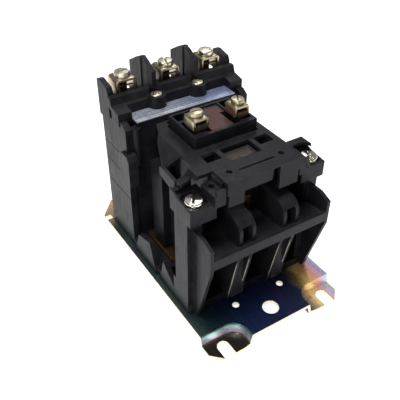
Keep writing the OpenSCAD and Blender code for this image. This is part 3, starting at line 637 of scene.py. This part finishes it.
# Clamp sizes: width, depth, sheet thickness, outer bend radius, hole radius
LINE_CLAMP = (12.7, 11.5, 1.5, 1.9, 2.62)
COIL_CLAMP = (9.4, 9.8, 1.5, 1.4, 1.87)
LINE_Y, COIL_Y, ARC_Y, CORNER_Y = 123.8, 68.8, 110.4, 34.0
ARC_X, CORNER_X = (-13.8, 13.8), (-36.2, 36.2)
QUARTER = math.pi / 2
# How far each screw's slot is turned
LINE_SLOT = {"left": 0.15, "centre": 1.25, "right": -0.75}
COIL_SLOT = {"left": -0.25, "right": 1.0}
ARC_SLOTS = ((0.5, 0.5 + QUARTER), (0.9, 0.9 + QUARTER))
CORNER_SLOTS = ((0.9,), (1.35,))

for pole, px in POLES.items():
    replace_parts(screw("line_screw_head_" + pole, "line_screw_" + pole, px, LINE_Y, LINE_SCREW,
                      (LINE_SLOT[pole],), SCREW, body="line_screw_" + pole), "line_screw_" + pole)
    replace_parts(saddle("line_saddle_" + pole, "line_clamp_" + pole, px, LINE_Y, LINE_CLAMP,
                       "line_clamp_" + pole), "line_clamp_" + pole)
    pressure_pad(pole, px, LINE_Y, LINE_CLAMP[-1])

for side, sx in SIDES.items():
    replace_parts(screw("coil_screw_head_" + side, "coil_screw_" + side, sx, COIL_Y, COIL_SCREW,
                      (COIL_SLOT[side],), CLAMP, body="coil_screw_" + side), "coil_screw_" + side)
    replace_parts(saddle("coil_saddle_" + side, "coil_clamp_" + side, sx, COIL_Y, COIL_CLAMP,
                       "coil_clamp_" + side), "coil_clamp_" + side)


def pair_screws(name, node, xs, y, size, slots, material):
    """Two screws, as two pieces, that stand for one CAD node together."""
    parts = [screw("%s_%d" % (name, k), node, x, y, size, slots[k], material) for k, x in enumerate(xs)]
    for part in parts:
        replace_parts(part, node)


pair_screws("arc_cover_screw", "arc_cover_screws", ARC_X, ARC_Y, ARC_SCREW, ARC_SLOTS, SCREW)
pair_screws("corner_screw", "coil_cover_screws", CORNER_X, CORNER_Y, CORNER_SCREW, CORNER_SLOTS, BRASS)


# ---- Small details that stand on the mouldings ----

def sloping_strip(bm, x, foot, head):
    """A thin rounded strip lying on a rib's slanted front edge, from (y, z) foot to (y, z) head."""
    width, lift, steps = 0.8, 0.12, 12
    rise_y, rise_z = head[0] - foot[0], head[1] - foot[1]
    along = Vector((0.0, rise_y, rise_z)).normalized()
    out = Vector((0.0, -along.z, along.y))
    rings = []
    for i in range(steps + 1):
        f = i / steps
        taper = min(1.0, 6.0 * f, 6.0 * (1.0 - f)) ** 0.5
        centre = Vector((x, foot[0] + rise_y * f, foot[1] + rise_z * f))
        ring = []
        for side, rise in ((-1, -0.25), (-0.8, 0.6), (0, 1.0), (0.8, 0.6), (1, -0.25)):
            point = centre + Vector((side * width / 2 * taper, 0, 0)) + out * (rise * lift)
            ring.append(bm.verts.new(at(*point)))
        rings.append(ring)
    join_rings(bm, rings)
    bm.faces.new(rings[0])
    bm.faces.new(list(reversed(rings[-1])))


# Pale strips on the slanted front edges of the four lower ribs and the right outer wall
strips = bmesh.new()
for rib in (-18.6, -10.6, 9.4, 17.4):
    sloping_strip(strips, rib, (26.2, 13.5), (19.6, 44.5))
sloping_strip(strips, 36.9, (26.0, 12.5), (19.5, 32.0))
new_piece("rib_edge_strips", strips, "root", PALE_EDGE, 60)


# ---- Stage, lights and camera ----

def add_stage():
    bm = bmesh.new()
    half = 30.0
    corners = ((-half, -half), (half, -half), (half, half), (-half, half))
    bm.faces.new([bm.verts.new((x, y, 0.0)) for x, y in corners])
    floor = new_piece("floor", bm, None, PAPER)


def add_area(name, where, aim, size, power):
    """A soft rectangular light at where, turned towards aim."""
    light = bpy.data.lights.new(name, "AREA")
    light.shape = "RECTANGLE"
    light.size, light.size_y = size
    light.energy = power
    obj = bpy.data.objects.new(name, light)
    scene.collection.objects.link(obj)
    obj.location = where
    obj.rotation_euler = (Vector(aim) - Vector(where)).to_track_quat("-Z", "Y").to_euler()


def add_camera():
    yaw, pitch, roll = (math.radians(a) for a in (32.59, 38.09, -0.33))
    forward = Vector((math.sin(yaw) * math.cos(pitch), math.cos(yaw) * math.cos(pitch), -math.sin(pitch)))
    right = Vector((math.cos(yaw), -math.sin(yaw), 0.0))
    down = forward.cross(right)
    across = right * math.cos(roll) + down * math.sin(roll)
    under = down * math.cos(roll) - right * math.sin(roll)
    data = bpy.data.cameras.new("camera")
    data.sensor_width = 36.0
    data.lens = 51.54
    data.clip_start = 0.01
    camera = bpy.data.objects.new("camera", data)
    scene.collection.objects.link(camera)
    basis = Matrix((across, -under, -forward)).transposed().to_4x4()
    basis.translation = (-0.1508, -0.2298, 0.2546)
    camera.matrix_world = basis
    scene.camera = camera


add_stage()
add_area("key_left", (-0.9, -0.5, 0.8), (0.0, 0.0, 0.05), (0.35, 0.35), 3.5)
add_area("top_soft", (-0.1, -0.05, 1.2), (0.0, 0.0, 0.0), (0.5, 0.5), 11.0)
add_area("back_strip", (0.55, 0.75, 0.95), (0.0, 0.0, 0.08), (0.18, 0.5), 1.6)
world = bpy.data.worlds.new("studio")
world.use_nodes = True
world.node_tree.nodes["Background"].inputs[0].default_value = (1.0, 1.0, 1.0, 1.0)
world.node_tree.nodes["Background"].inputs[1].default_value = 0.16
scene.world = world
scene.view_settings.view_transform = "Standard"
add_camera()
